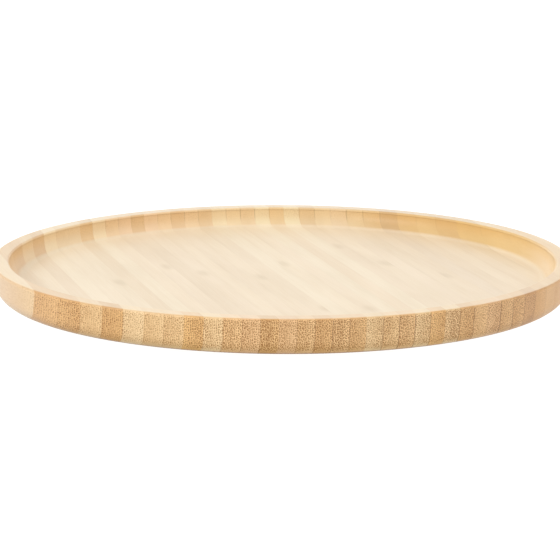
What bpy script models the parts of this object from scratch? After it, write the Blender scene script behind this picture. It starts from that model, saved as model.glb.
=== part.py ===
"""Lazy susan turntable: a round bamboo tray that spins on a low bamboo base.

Between tray and base sits a square swivel bearing: two pressed steel plates, each with a round race,
a ring of steel balls and the cage that spaces them. The lower plate's collar is curled over the upper
plate's inner edge, which holds the two together. Screws fix the plates to the boards, and four rubber
feet, each with a washer and a screw, carry the base.

Metres, +Z up. The origin is on the spin axis, on the table that the feet stand on.
"""

import math

import bmesh
import bpy

# Tray: one turned board with a raised rim.
TRAY_RADIUS = 0.195
TRAY_THICKNESS = 0.0245
RIM_WIDTH = 0.0115
RECESS_DEPTH = 0.013
COVE_RADIUS = 0.011
RIM_EDGE_RADIUS = 0.0018
WALL_SLOPE = math.radians(8)
UNDERSIDE_EDGE_RADIUS = 0.011

# Base board: a smaller disc of the same bamboo.
BASE_RADIUS = 0.085
BASE_THICKNESS = 0.010
BASE_EDGE_RADIUS = 0.002
ACCESS_HOLE_RADIUS = 0.007

# Swivel bearing.
BEARING_HEIGHT = 0.008
SHEET = 0.0012
PLATE_HALF_SIDE = 0.050
PLATE_CORNER_RADIUS = 0.010
HOLE_SPACING = 0.084
HOLE_RADIUS = 0.0024
RACE_RADIUS = 0.036
SHOULDER_RISE = 0.0012
SHOULDER_OUTER_RADIUS = 0.0415
SHOULDER_SLOPE = 0.0012
COLLAR_RADIUS = 0.028
CURL_WIDTH = 0.0040
CURL_THICKNESS = 0.0008
CURL_TO_TRAY = 0.0001
UPPER_INNER_RADIUS = 0.0298
BALL_COUNT = 18
BALL_RADIUS = 0.0024
CAGE_WIDTH = 0.0072
CAGE_THICKNESS = 0.0016

# Screws: one size for all twelve.
SCREW_COUNT = 4
SHANK_RADIUS = 0.0017
SHANK_LENGTH = 0.0086
SCREW_TIP = 0.0022
HEAD_RADIUS = 0.0034
HEAD_HEIGHT = 0.0015
HEAD_SIDE_HEIGHT = 0.0005
HEAD_TOP_RADIUS = 0.00255
DRIVE_SPAN = 0.0032
DRIVE_WIDTH = 0.0008
DRIVE_DEPTH = 0.0008

# Rubber feet.
FOOT_HEIGHT = 0.005
FOOT_CIRCLE_RADIUS = 0.070
FOOT_TOP_RADIUS = 0.0086
FOOT_BOTTOM_RADIUS = 0.0076
FOOT_EDGE = 0.0006
FOOT_RECESS_RADIUS = 0.0046
FOOT_RECESS_DEPTH = 0.0034
WASHER_RADIUS = 0.0042
WASHER_THICKNESS = 0.0008

# Clearance kept between touching pieces, and between a ball and what it rolls on.
GAP = 0.0003

# How finely the round shapes are faceted.
TRAY_SEGMENTS = 72
BASE_SEGMENTS = 56
CAGE_SEGMENTS = 36
ACCESS_HOLE_SEGMENTS = 20
FOOT_SEGMENTS = 16
SMALL_SEGMENTS = 12
BALL_SEGMENTS = 10
BALL_RINGS = 6
EDGE_STEPS = 3
BASE_EDGE_STEPS = 2
UNDERSIDE_EDGE_STEPS = 6
COVE_STEPS = 6
RACE_STEPS = 4
RACE_BACK_STEPS = 2
PLATE_SIDE_DEGREES = [-27, -18, -9, 0, 9, 18, 27]
SMOOTH_ANGLE = math.radians(35)

# Heights worked out from the table upwards.
BASE_Z = FOOT_HEIGHT + GAP
BEARING_Z = BASE_Z + BASE_THICKNESS + GAP
BALL_Z = BEARING_Z + BEARING_HEIGHT / 2
TRAY_Z = BEARING_Z + BEARING_HEIGHT + GAP

# Screw holes lie on one circle, so that each upper hole can stand over the access hole.
SCREW_CIRCLE_RADIUS = HOLE_SPACING / math.sqrt(2)
DIAGONALS = [math.radians(45 + 90 * k) for k in range(SCREW_COUNT)]
CROSSWISE = [math.radians(90 * k) for k in range(SCREW_COUNT)]


def clear_scene():
    for obj in list(bpy.data.objects):
        bpy.data.objects.remove(obj)


def finish_of(name, colour, roughness, metallic=0.0):
    """A material with one Principled BSDF."""
    made = bpy.data.materials.new(name)
    made.use_nodes = True
    shader = made.node_tree.nodes["Principled BSDF"]
    shader.inputs["Base Color"].default_value = (*colour, 1.0)
    shader.inputs["Roughness"].default_value = roughness
    shader.inputs["Metallic"].default_value = metallic
    return made


def make_finishes():
    return {
        "bamboo": finish_of("bamboo", (0.78, 0.58, 0.36), 0.45),
        "zinc": finish_of("zinc", (0.62, 0.64, 0.66), 0.35, 1.0),
        "ball_steel": finish_of("ball_steel", (0.75, 0.75, 0.77), 0.12, 1.0),
        "nylon": finish_of("nylon", (0.85, 0.85, 0.82), 0.5),
        "screw_steel": finish_of("screw_steel", (0.55, 0.55, 0.56), 0.3, 1.0),
        "rubber": finish_of("rubber", (0.05, 0.05, 0.05), 0.8),
    }


def axis_empty(name, parent=None, at=(0, 0, 0)):
    """An empty on a joint's axis, which carries the pieces of one rigid body."""
    empty = bpy.data.objects.new(name, None)
    bpy.context.scene.collection.objects.link(empty)
    empty.parent = parent
    empty.location = at
    return empty


def even_angles(count):
    return [2 * math.pi * k / count for k in range(count)]


def on_circle(radius, angle, height=0.0):
    return (radius * math.cos(angle), radius * math.sin(angle), height)


def arc(centre, radius, start_deg, end_deg, steps):
    """Points (r, z) along an arc of a profile, both ends included."""
    turns = [math.radians(start_deg + (end_deg - start_deg) * k / steps) for k in range(steps + 1)]
    return [(centre[0] + radius * math.cos(a), centre[1] + radius * math.sin(a)) for a in turns]


def turned_mesh(name, profile, angles):
    """A closed solid turned about Z from a closed loop of (radius, height) points.

    A radius may be a function of the angle, which gives an outline that isn't round. Where the profile
    starts and ends at radius 0, those two points become the centres of flat faces.
    """
    build = bmesh.new()
    loops = []
    for radius, height in profile:
        if radius == 0:
            continue
        reach = radius if callable(radius) else lambda _, fixed=radius: fixed
        loops.append([build.verts.new(on_circle(reach(a), a, height)) for a in angles])
    solid = profile[0][0] == 0
    pairs = list(zip(loops, loops[1:])) if solid else list(zip(loops, loops[1:] + loops[:1]))
    for lower, upper in pairs:
        for k in range(len(angles)):
            after = (k + 1) % len(angles)
            build.faces.new((lower[k], lower[after], upper[after], upper[k]))
    if solid:
        build.faces.new(list(reversed(loops[0])))
        build.faces.new(loops[-1])
    bmesh.ops.recalc_face_normals(build, faces=build.faces)
    mesh = bpy.data.meshes.new(name)
    build.to_mesh(mesh)
    build.free()
    mesh.shade_smooth()
    mesh.set_sharp_from_angle(angle=SMOOTH_ANGLE)
    return mesh


def place(name, mesh, finish, parent, at=(0, 0, 0), turn=(0, 0, 0)):
    """A named piece, at its place in its parent's frame."""
    if not mesh.materials:
        mesh.materials.append(finish)
    piece = bpy.data.objects.new(name, mesh)
    bpy.context.scene.collection.objects.link(piece)
    piece.parent = parent
    piece.location = at
    piece.rotation_euler = turn
    return piece


def add_cutter(name, build, parent, at=(0, 0, 0)):
    """A hidden helper from a bmesh, for a Boolean to cut with."""
    bmesh.ops.recalc_face_normals(build, faces=build.faces)
    mesh = bpy.data.meshes.new(name)
    build.to_mesh(mesh)
    build.free()
    cutter = bpy.data.objects.new(name, mesh)
    bpy.context.scene.collection.objects.link(cutter)
    cutter.parent = parent
    cutter.location = at
    cutter.hide_render = True
    cutter.display_type = "WIRE"
    return cutter


def cut(piece, cutter):
    modifier = piece.modifiers.new(cutter.name, "BOOLEAN")
    modifier.operation = "DIFFERENCE"
    modifier.solver = "EXACT"
    modifier.object = cutter


def drill(piece, name, centres, radius, bottom, top, segments=SMALL_SEGMENTS):
    """Cuts a round hole at each (x, y), between two heights in the piece's own frame."""
    build = bmesh.new()
    for x, y in centres:
        rings = []
        for height in (bottom, top):
            points = [on_circle(radius, a, height) for a in even_angles(segments)]
            rings.append([build.verts.new((x + px, y + py, pz)) for px, py, pz in points])
        for k in range(segments):
            after = (k + 1) % segments
            build.faces.new((rings[0][k], rings[0][after], rings[1][after], rings[1][k]))
        build.faces.new(list(reversed(rings[0])))
        build.faces.new(rings[1])
    cut(piece, add_cutter(name, build, piece))


def circle_centres(radius, angles):
    return [on_circle(radius, a)[:2] for a in angles]


def wall_radius(height):
    """How far the leaning wall's line stands from the axis, at a height above the tray's underside."""
    edge = RIM_EDGE_RADIUS
    above_edge = height - (TRAY_THICKNESS - edge)
    return TRAY_RADIUS - edge + (edge + above_edge * math.sin(WALL_SLOPE)) / math.cos(WALL_SLOPE)


def tray_profile():
    """The tray's section, from the centre of its underside, round the rim, to the centre of its floor."""
    inner = TRAY_RADIUS - RIM_WIDTH
    floor = TRAY_THICKNESS - RECESS_DEPTH
    edge = RIM_EDGE_RADIUS
    under = UNDERSIDE_EDGE_RADIUS
    lean = -math.degrees(WALL_SLOPE)
    turn_in = wall_radius(under) - under / math.cos(WALL_SLOPE)
    points = [(0, 0)]
    points += arc((turn_in, under), under, -90, lean, UNDERSIDE_EDGE_STEPS)
    points += arc((TRAY_RADIUS - edge, TRAY_THICKNESS - edge), edge, lean, 90, EDGE_STEPS)
    points += arc((inner + edge, TRAY_THICKNESS - edge), edge, 90, 180, EDGE_STEPS)
    points += arc((inner - COVE_RADIUS, floor + COVE_RADIUS), COVE_RADIUS, 0, -90, COVE_STEPS)
    return points + [(0, floor)]


def make_tray(finishes, turntable):
    mesh = turned_mesh("tray", tray_profile(), even_angles(TRAY_SEGMENTS))
    tray = place("tray", mesh, finishes["bamboo"], turntable, at=(0, 0, TRAY_Z))
    depth = SHANK_LENGTH - SHEET - GAP
    centres = circle_centres(SCREW_CIRCLE_RADIUS, CROSSWISE)
    drill(tray, "tray_pilot_holes", centres, SHANK_RADIUS + GAP, -GAP, depth)


def base_profile():
    edge = BASE_EDGE_RADIUS
    points = [(0, 0)]
    points += arc((BASE_RADIUS - edge, edge), edge, -90, 0, BASE_EDGE_STEPS)
    points += arc((BASE_RADIUS - edge, BASE_THICKNESS - edge), edge, 0, 90, BASE_EDGE_STEPS)
    return points + [(0, BASE_THICKNESS)]


def make_base_board(finishes, base):
    """The base board, with its pilot holes, and the hole that lets a driver reach the tray's screws."""
    mesh = turned_mesh("base_board", base_profile(), even_angles(BASE_SEGMENTS))
    board = place("base_board", mesh, finishes["bamboo"], base, at=(0, 0, BASE_Z))
    pilot = SHANK_RADIUS + GAP
    depth_above = SHANK_LENGTH - SHEET - GAP
    depth_below = foot_screw_z() + SHANK_LENGTH - BASE_Z + GAP
    above = circle_centres(SCREW_CIRCLE_RADIUS, DIAGONALS)
    below = circle_centres(FOOT_CIRCLE_RADIUS, DIAGONALS)
    drill(board, "plate_pilot_holes", above, pilot, BASE_THICKNESS - depth_above, BASE_THICKNESS + GAP)
    drill(board, "foot_pilot_holes", below, pilot, -GAP, depth_below)
    access = circle_centres(SCREW_CIRCLE_RADIUS, CROSSWISE[:1])
    top = BASE_THICKNESS + GAP
    drill(board, "access_hole", access, ACCESS_HOLE_RADIUS, -GAP, top, ACCESS_HOLE_SEGMENTS)


def square_reach(angle):
    """How far the plate's rounded square reaches from the axis at an angle."""
    x, y = sorted((abs(math.cos(angle)), abs(math.sin(angle))), reverse=True)
    straight = PLATE_HALF_SIDE - PLATE_CORNER_RADIUS
    if PLATE_HALF_SIDE * y / x <= straight:
        return PLATE_HALF_SIDE / x
    along = straight * (x + y)
    return along + math.sqrt(along**2 - 2 * straight**2 + PLATE_CORNER_RADIUS**2)


def plate_angles():
    """Angles for a plate's loops: even along the sides, with three at each rounded corner."""
    straight = PLATE_HALF_SIDE - PLATE_CORNER_RADIUS
    corner = math.degrees(math.atan2(straight, PLATE_HALF_SIDE))
    quarter = PLATE_SIDE_DEGREES + [corner, 45, 90 - corner]
    return [math.radians(90 * k + a) for k in range(4) for a in quarter]


def race_arc(groove, shoulder, steps, sign):
    """A race's arc about the balls' centres, from shoulder to shoulder. Sign 1 runs in, and -1 out."""
    middle = BEARING_HEIGHT / 2
    half = math.degrees(math.acos((middle - shoulder) / groove))
    points = arc((RACE_RADIUS, middle), groove, -90 + half, -90 - half, steps)
    return points[::sign]


def lower_plate_profile():
    """The lower plate's sheet, from the square edge inwards along the top, and back along the underside."""
    shoulder = SHOULDER_RISE + SHEET
    race = BALL_RADIUS + GAP
    collar = COLLAR_RADIUS + SHEET
    curl_top = BEARING_HEIGHT - CURL_TO_TRAY
    curl_edge = COLLAR_RADIUS + CURL_WIDTH
    return [
        (square_reach, 0),
        (square_reach, SHEET),
        (SHOULDER_OUTER_RADIUS + SHOULDER_SLOPE, SHEET),
        (SHOULDER_OUTER_RADIUS, shoulder),
        *race_arc(race, shoulder, RACE_STEPS, 1),
        (collar, shoulder),
        (collar, curl_top - CURL_THICKNESS),
        (curl_edge, curl_top - CURL_THICKNESS),
        (curl_edge, curl_top),
        (COLLAR_RADIUS + SHEET / 2, curl_top),
        (COLLAR_RADIUS, curl_top - SHEET / 2),
        (COLLAR_RADIUS, SHOULDER_RISE),
        *race_arc(race + SHEET, SHOULDER_RISE, RACE_BACK_STEPS, -1),
        (SHOULDER_OUTER_RADIUS - SHEET / 2, SHOULDER_RISE),
        (SHOULDER_OUTER_RADIUS + SHOULDER_SLOPE - SHEET / 2, 0),
    ]


def upper_plate_profile():
    """The upper plate's sheet: the lower one's turned over, but ending under the lower plate's curl."""
    shoulder = SHOULDER_RISE + SHEET
    race = BALL_RADIUS + GAP
    lying = [
        (square_reach, 0),
        (square_reach, SHEET),
        (SHOULDER_OUTER_RADIUS + SHOULDER_SLOPE, SHEET),
        (SHOULDER_OUTER_RADIUS, shoulder),
        *race_arc(race, shoulder, RACE_STEPS, 1),
        (UPPER_INNER_RADIUS, shoulder),
        (UPPER_INNER_RADIUS, SHOULDER_RISE),
        *race_arc(race + SHEET, SHOULDER_RISE, RACE_BACK_STEPS, -1),
        (SHOULDER_OUTER_RADIUS - SHEET / 2, SHOULDER_RISE),
        (SHOULDER_OUTER_RADIUS + SHOULDER_SLOPE - SHEET / 2, 0),
    ]
    return [(radius, BEARING_HEIGHT - height) for radius, height in lying]


def make_bearing_plates(finishes, base, turntable):
    """Both plates. The upper one is turned by an eighth, so that its corners stand clear of the lower one."""
    corners = circle_centres(SCREW_CIRCLE_RADIUS, DIAGONALS)
    mesh = turned_mesh("lower_bearing_plate", lower_plate_profile(), plate_angles())
    lower = place("lower_bearing_plate", mesh, finishes["zinc"], base, at=(0, 0, BEARING_Z))
    drill(lower, "lower_plate_holes", corners, HOLE_RADIUS, -GAP, SHEET + GAP)
    mesh = turned_mesh("upper_bearing_plate", upper_plate_profile(), plate_angles())
    eighth = (0, 0, math.radians(45))
    upper = place("upper_bearing_plate", mesh, finishes["zinc"], turntable, (0, 0, BEARING_Z), eighth)
    top = BEARING_HEIGHT
    drill(upper, "upper_plate_holes", corners, HOLE_RADIUS, top - SHEET - GAP, top + GAP)


def make_cage(finishes, cage_axis):
    """The flat ring that spaces the balls, one pocket for each."""
    half = CAGE_THICKNESS / 2
    inner, outer = RACE_RADIUS - CAGE_WIDTH / 2, RACE_RADIUS + CAGE_WIDTH / 2
    section = [(inner, -half), (outer, -half), (outer, half), (inner, half)]
    mesh = turned_mesh("ball_cage", section, even_angles(CAGE_SEGMENTS))
    cage = place("ball_cage", mesh, finishes["nylon"], cage_axis)
    pocket = (BALL_RADIUS + GAP) / math.cos(math.pi / SMALL_SEGMENTS)
    centres = circle_centres(RACE_RADIUS, even_angles(BALL_COUNT))
    drill(cage, "cage_pockets", centres, pocket, -CAGE_THICKNESS, CAGE_THICKNESS)


def make_balls(finishes, cage_axis):
    """The balls. Each has its origin at its centre, and its pole along the radius, its rolling axis."""
    build = bmesh.new()
    bmesh.ops.create_uvsphere(build, u_segments=BALL_SEGMENTS, v_segments=BALL_RINGS, radius=BALL_RADIUS)
    mesh = bpy.data.meshes.new("ball")
    build.to_mesh(mesh)
    build.free()
    mesh.shade_smooth()
    for k, angle in enumerate(even_angles(BALL_COUNT)):
        centre = on_circle(RACE_RADIUS, angle)
        turn = (0, math.radians(90), angle)
        place(f"ball_{k + 1:02d}", mesh, finishes["ball_steel"], cage_axis, centre, turn)


def cross_cutter():
    """The cross-shaped recess in a screw's head."""
    long, short = DRIVE_SPAN / 2, DRIVE_WIDTH / 2
    quarter = [(long, -short), (long, short), (short, short)]
    outline = []
    for k in range(4):
        c, s = round(math.cos(math.pi / 2 * k)), round(math.sin(math.pi / 2 * k))
        outline += [(c * x - s * y, s * x + c * y) for x, y in quarter]
    build = bmesh.new()
    floor = build.faces.new([build.verts.new((x, y, HEAD_HEIGHT - DRIVE_DEPTH)) for x, y in outline])
    grown = bmesh.ops.extrude_face_region(build, geom=[floor])
    moved = [v for v in grown["geom"] if isinstance(v, bmesh.types.BMVert)]
    bmesh.ops.translate(build, verts=moved, vec=(0, 0, 2 * DRIVE_DEPTH))
    return add_cutter("cross_recess", build, None)


def screw_mesh():
    """A pan-head wood screw: its head stands on Z = 0 and its shank points down. All the screws share it."""
    profile = [
        (0, -SHANK_LENGTH),
        (SHANK_RADIUS / 4, -SHANK_LENGTH),
        (SHANK_RADIUS, -SHANK_LENGTH + SCREW_TIP),
        (SHANK_RADIUS, 0),
        (HEAD_RADIUS, 0),
        (HEAD_RADIUS, HEAD_SIDE_HEIGHT),
        (HEAD_TOP_RADIUS, HEAD_HEIGHT),
        (0, HEAD_HEIGHT),
    ]
    blank = turned_mesh("screw_blank", profile, even_angles(SMALL_SEGMENTS))
    maker = bpy.data.objects.new("screw_blank", blank)
    bpy.context.scene.collection.objects.link(maker)
    cutter = cross_cutter()
    cut(maker, cutter)
    graph = bpy.context.evaluated_depsgraph_get()
    mesh = bpy.data.meshes.new_from_object(maker.evaluated_get(graph))
    bpy.data.objects.remove(maker)
    bpy.data.objects.remove(cutter)
    return mesh


def foot_screw_z():
    """Height of the underside of a foot screw's head, just below its washer."""
    return FOOT_RECESS_DEPTH - 2 * GAP - WASHER_THICKNESS


def make_screws(finishes, base, turntable):
    """Four screws up into the tray, four down into the base board and one up through each foot."""
    mesh = screw_mesh()
    steel = finishes["screw_steel"]
    upwards = (math.pi, 0, 0)
    for k in range(SCREW_COUNT):
        under_plate = BEARING_Z + BEARING_HEIGHT - SHEET - GAP
        at = on_circle(SCREW_CIRCLE_RADIUS, CROSSWISE[k], under_plate)
        place(f"tray_screw_{k + 1}", mesh, steel, turntable, at, upwards)
        at = on_circle(SCREW_CIRCLE_RADIUS, DIAGONALS[k], BEARING_Z + SHEET + GAP)
        place(f"plate_screw_{k + 1}", mesh, steel, base, at)
        at = on_circle(FOOT_CIRCLE_RADIUS, DIAGONALS[k], foot_screw_z())
        place(f"foot_screw_{k + 1}", mesh, steel, base, at, upwards)


def make_feet(finishes, base):
    """Rubber feet, each hollowed from below for its washer and the screw's head."""
    hole = SHANK_RADIUS + GAP
    foot = turned_mesh(
        "rubber_foot",
        [
            (FOOT_RECESS_RADIUS, 0),
            (FOOT_BOTTOM_RADIUS - FOOT_EDGE, 0),
            (FOOT_BOTTOM_RADIUS, FOOT_EDGE),
            (FOOT_TOP_RADIUS, FOOT_HEIGHT),
            (hole, FOOT_HEIGHT),
            (hole, FOOT_RECESS_DEPTH),
            (FOOT_RECESS_RADIUS, FOOT_RECESS_DEPTH),
        ],
        even_angles(FOOT_SEGMENTS),
    )
    section = [(hole, 0), (WASHER_RADIUS, 0), (WASHER_RADIUS, WASHER_THICKNESS), (hole, WASHER_THICKNESS)]
    washer = turned_mesh("foot_washer", section, even_angles(SMALL_SEGMENTS))
    washer_z = FOOT_RECESS_DEPTH - GAP - WASHER_THICKNESS
    for k, angle in enumerate(DIAGONALS):
        at = on_circle(FOOT_CIRCLE_RADIUS, angle)
        place(f"rubber_foot_{k + 1}", foot, finishes["rubber"], base, at)
        at = on_circle(FOOT_CIRCLE_RADIUS, angle, washer_z)
        place(f"foot_washer_{k + 1}", washer, finishes["zinc"], base, at)


def main():
    clear_scene()
    finishes = make_finishes()
    base = axis_empty("base")
    turntable = axis_empty("turntable", base)
    cage_axis = axis_empty("cage", base, (0, 0, BALL_Z))
    make_tray(finishes, turntable)
    make_base_board(finishes, base)
    make_bearing_plates(finishes, base, turntable)
    make_cage(finishes, cage_axis)
    make_balls(finishes, cage_axis)
    make_feet(finishes, base)
    make_screws(finishes, base, turntable)


main()
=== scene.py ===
"""Looks of the lazy susan turntable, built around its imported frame.

A bamboo tray spins on a square swivel bearing, which stands on a small bamboo base board with rubber feet.
Each CAD node gets a finer mesh in its place: strip-laminated boards with end grain, zinc-plated plates with
rounded bends, cut screws, polished balls, a moulded cage, and turned feet and washers.

Metres, +Z up. Sizes that the frame doesn't give are named below and equal the CAD's.
"""

import math
import random
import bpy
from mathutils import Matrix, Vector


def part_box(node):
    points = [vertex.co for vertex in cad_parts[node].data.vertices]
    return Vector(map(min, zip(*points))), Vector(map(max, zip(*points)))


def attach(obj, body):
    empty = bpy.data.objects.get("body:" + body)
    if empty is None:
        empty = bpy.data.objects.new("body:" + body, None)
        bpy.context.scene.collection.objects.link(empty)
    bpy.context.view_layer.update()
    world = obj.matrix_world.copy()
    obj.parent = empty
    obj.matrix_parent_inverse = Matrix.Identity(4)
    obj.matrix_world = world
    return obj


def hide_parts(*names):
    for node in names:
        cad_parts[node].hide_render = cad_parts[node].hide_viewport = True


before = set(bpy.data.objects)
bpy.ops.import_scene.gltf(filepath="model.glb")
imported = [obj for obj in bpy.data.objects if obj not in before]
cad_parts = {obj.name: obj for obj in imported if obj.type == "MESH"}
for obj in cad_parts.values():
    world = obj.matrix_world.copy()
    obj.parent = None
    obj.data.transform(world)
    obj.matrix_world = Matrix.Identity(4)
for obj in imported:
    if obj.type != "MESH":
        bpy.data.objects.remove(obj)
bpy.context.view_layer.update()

from types import SimpleNamespace

import bmesh
import bpy
from mathutils import Vector

MM = 0.001

# Tray.
TRAY_LOW, TRAY_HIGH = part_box("tray")
TRAY_RADIUS = TRAY_HIGH.x
RIM_WIDTH = 11.5 * MM
RECESS_DEPTH = 13 * MM
COVE_RADIUS = 11 * MM
RIM_EDGE_RADIUS = 1.8 * MM
WALL_SLOPE = math.radians(8)
UNDERSIDE_EDGE_RADIUS = 11 * MM

# Base board.
BOARD_LOW, BOARD_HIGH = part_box("base_board")
BOARD_RADIUS = BOARD_HIGH.x
BOARD_EDGE_RADIUS = 2 * MM
ACCESS_HOLE_RADIUS = 7 * MM
ACCESS_HOLE_CHAMFER = 0.6 * MM

# Swivel bearing.
BEARING_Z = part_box("lower_bearing_plate")[0].z
BEARING_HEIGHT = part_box("upper_bearing_plate")[1].z - BEARING_Z
SHEET = 1.2 * MM
SHEET_EDGE = 0.3 * MM
PLATE_HALF_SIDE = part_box("lower_bearing_plate")[1].x
PLATE_CORNER_RADIUS = 10 * MM
SCREW_HOLE_RADIUS = 2.4 * MM
SCREW_HOLE_CHAMFER = 0.2 * MM
RACE_RADIUS = 36 * MM
RACE_GROOVE_RADIUS = 2.7 * MM
SHOULDER_RISE = 1.2 * MM
SHOULDER_TOP = SHOULDER_RISE + SHEET
SHOULDER_OUTER_RADIUS = 41.5 * MM
SHOULDER_SLOPE = 1.2 * MM
COLLAR_RADIUS = 28 * MM
COLLAR_BEND = 0.5 * MM
CURL_WIDTH = 4 * MM
CURL_THICKNESS = 0.8 * MM
CURL_RADIUS = 1.1 * MM
CURL_TO_TRAY = 0.1 * MM
UPPER_INNER_RADIUS = 29.8 * MM
BALL_COUNT = 18
BALL_RADIUS = 2.4 * MM
CAGE_WIDTH = 7.2 * MM
CAGE_THICKNESS = 1.6 * MM
CAGE_EDGE = 0.3 * MM
POCKET_LIP = 0.3 * MM
POCKET_LIP_WIDTH = 0.6 * MM

# Screws, feet and washers. THREAD_CREST is half a crest's width, as a share of the pitch.
SCREW_COUNT = 4
SCREW_CIRCLE_RADIUS = 84 * MM / math.sqrt(2)
SHANK_RADIUS = 1.7 * MM
THREAD_ROOT_RADIUS = 1.25 * MM
THREAD_PITCH = 1.1 * MM
THREAD_CREST = 0.28
SHANK_LENGTH = 8.6 * MM
PLAIN_NECK = 0.8 * MM
POINT_LENGTH = 2.6 * MM
BLUNT_TIP = 0.12
HEAD_RADIUS = 3.4 * MM
HEAD_HEIGHT = 1.5 * MM
HEAD_RIM_HEIGHT = 0.5 * MM
HEAD_EDGE = 0.15 * MM
DOME_ANGLE = math.radians(78)
CROSS_SPAN = 3.4 * MM
CROSS_WIDTH = 0.75 * MM
CROSS_DEPTH = 0.85 * MM
CROSS_TAPER = 0.62
CROSS_CORNER = 1.3
FOOT_HEIGHT = 5 * MM
FOOT_TOP_RADIUS = 8.6 * MM
FOOT_BOTTOM_RADIUS = 7.6 * MM
FOOT_RECESS_RADIUS = 4.6 * MM
FOOT_RECESS_DEPTH = 3.4 * MM
TREAD_RADIUS = 5.775 * MM
TREAD_MOUTH = 0.275 * MM
TREAD_FLOOR = 0.125 * MM
TREAD_DEPTH = 0.25 * MM
TREAD_EDGE = 0.05 * MM
WASHER_RADIUS = 4.2 * MM
WASHER_THICKNESS = 0.8 * MM
WASHER_EDGE = 0.15 * MM
HOLE_GAP = 0.3 * MM
SHANK_HOLE_RADIUS = SHANK_RADIUS + HOLE_GAP
PILOT_DEPTH = SHANK_LENGTH - SHEET - HOLE_GAP

# Facets of the fine meshes.
BOARD_SEGMENTS = 384
PLATE_SEGMENTS = 240
SMALL_SEGMENTS = 48
SIDE_STEPS = 20
CORNER_STEPS = 14
RACE_STEPS = 12
BEND_STEPS = 8
POCKET_STEPS = 14
DOME_STEPS = 8
SCREW_SEGMENTS = 24
ROWS_PER_THREAD = 8
ARC_STEP = math.radians(11)
SUPPORT = 0.25 * MM
SMOOTH_ANGLE = math.radians(38)

# Which way the screws lie from the axis.
DIAGONALS = [math.radians(45 + 90 * k) for k in range(SCREW_COUNT)]
CROSSWISE = [math.radians(90 * k) for k in range(SCREW_COUNT)]

# Bamboo strips: the tray's run from back left to front right, as seen from the camera.
STRIP_PITCH = 10.63 * MM
STRIP_TURN = math.radians(15.9)
FIRST_STRIP = -203.95 * MM
NODE_LENGTH = 15 * MM
NODE_WIDTH = 6 * MM

# Dots of the bundles: a cell's size, and where a dot's core and its rim end, as shares of the cell.
SPARSE_DOT = (1.02 * MM, 0.2, 0.42)
DENSE_DOT = (0.93 * MM, 0.25, 0.46)
DOT_SCATTER = 0.55
DOT_DRIFT = 0.5 * MM
DOT_GAIN = 2.1
LEAST_DOT = 0.015

# Noise scales of the bamboo, in waves to the metre.
FIBRE_SCALE = 1500
BAND_SCALE = 130
CLOUD_SCALE = 32
DRIFT_SCALE = 420
DOT_PATCH_SCALE = 210
STREAK_SCALE = 14
SHADE_SCALE = 9

# Colours of the bamboo, as sRGB.
LONG_GRAIN = (245, 231, 206)
INNER_GRAIN = (240, 207, 160)
PITH = (242, 200, 143)
DOT = (143, 87, 12)
GLUE_LINE = (126, 76, 34)

# What the bamboo's colour is multiplied by, in linear light, where a tint or a mark is at its full.
# The inner and golden tints are partly painted shade, on the inner wall where the key lamp lights it.
INNER_HUE_AND_SHADE_TINT = (0.92, 0.98, 1.0)
GOLD_AND_SHADE_TINT = (0.96, 0.87, 0.66)
SIDE_TINT = (0.86, 0.79, 0.73)
# Painted shade on the outer wall's left and right ends.
LEFT_END_SHADE_TINT = (0.935, 0.94, 0.96)
RIGHT_END_SHADE_TINT = (0.91, 0.87, 0.85)
# Painted shade on a lower edge where it turns under.
UNDER_EDGE_SHADE_TINT = (0.4, 0.22, 0.14)
FIBRE_TINT = (0.7, 0.56, 0.4)
BAND_TINT = (0.74, 0.64, 0.48)
CLOUD_TINT = (0.76, 0.7, 0.6)
STREAK_TINT = (0.74, 0.68, 0.58)
CROWDED_TINT = (0.78, 0.64, 0.44)
GRIT_TINT = (0.7, 0.55, 0.34)
NODE_TINT = (0.66, 0.6, 0.46)

# Where the walls' tints come and go, along X, along Y or across the strips.
INNER_HUE_AND_SHADE_ACROSS = (-60 * MM, 80 * MM)
GOLD_AND_SHADE_ACROSS = (80 * MM, 135 * MM)
PALE_END_X = (80 * MM, 150 * MM)
PALE_END_Y = (0, 80 * MM)
LEFT_END_SHADE_X = (-100 * MM, -50 * MM)
RIGHT_END_SHADE_X = (110 * MM, 150 * MM)
PALE_RIM_Y = (60 * MM, 130 * MM)

# Colours that the strips are picked from, as sRGB.
TONES = {
    "w": (248, 218, 167),
    "y": (245, 214, 166),
    "l": (248, 211, 155),
    "m": (243, 201, 144),
    "p": (241, 198, 147),
    "e": (239, 204, 150),
    "v": (236, 198, 141),
    "o": (240, 192, 124),
    "g": (240, 194, 124),
    "n": (236, 192, 132),
    "q": (234, 186, 114),
    "d": (231, 183, 120),
    "k": (223, 173, 105),
    "b": (214, 163, 104),
}

# The tray's strips in order across the grain: each one's colour, how strongly its end grain is dotted,
# how dark the glue line before it is, whether its dense side is left or right, and how dark its face is on
# the floor. Digits go from 0 to 9, and a few dots on to b. The base board has the same strips backwards.
TRAY_STRIPS = "yydkvkweeqwmpkpmdmnwlmwowdmpndbdndgggly"
TRAY_DOTS = "1246454457687b688b767876b85766521111111"
TRAY_LINES = "111211111024331356526986167395412111111"
TRAY_SIDES = "lllrlllllrlllllllllrllrrrrlrllrlrlrlrlr"
TRAY_SHADES = "444456314832543337653344135544452484444"
FULL_DIGIT = 9
TRAY_SEED = 11
BOARD_SEED = 5

# The strips that a node of the culm crosses: how far across the strip, from 0 to 1, and how far along, in mm.
TRAY_NODES = {
    8: (0.8, 3), 12: (0.7, 46), 14: (0.4, 19), 17: (0.7, -4), 18: (0.8, -110), 20: (0.2, 36),
    21: (0.6, -117), 25: (0.4, 86), 26: (0.7, 19), 29: (0.15, -30),
}
BOARD_NODES = {13: (0.4, 30), 17: (0.6, -52), 22: (0.3, 61), 25: (0.7, -24)}
NO_NODE = (0.5, 1000)

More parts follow.
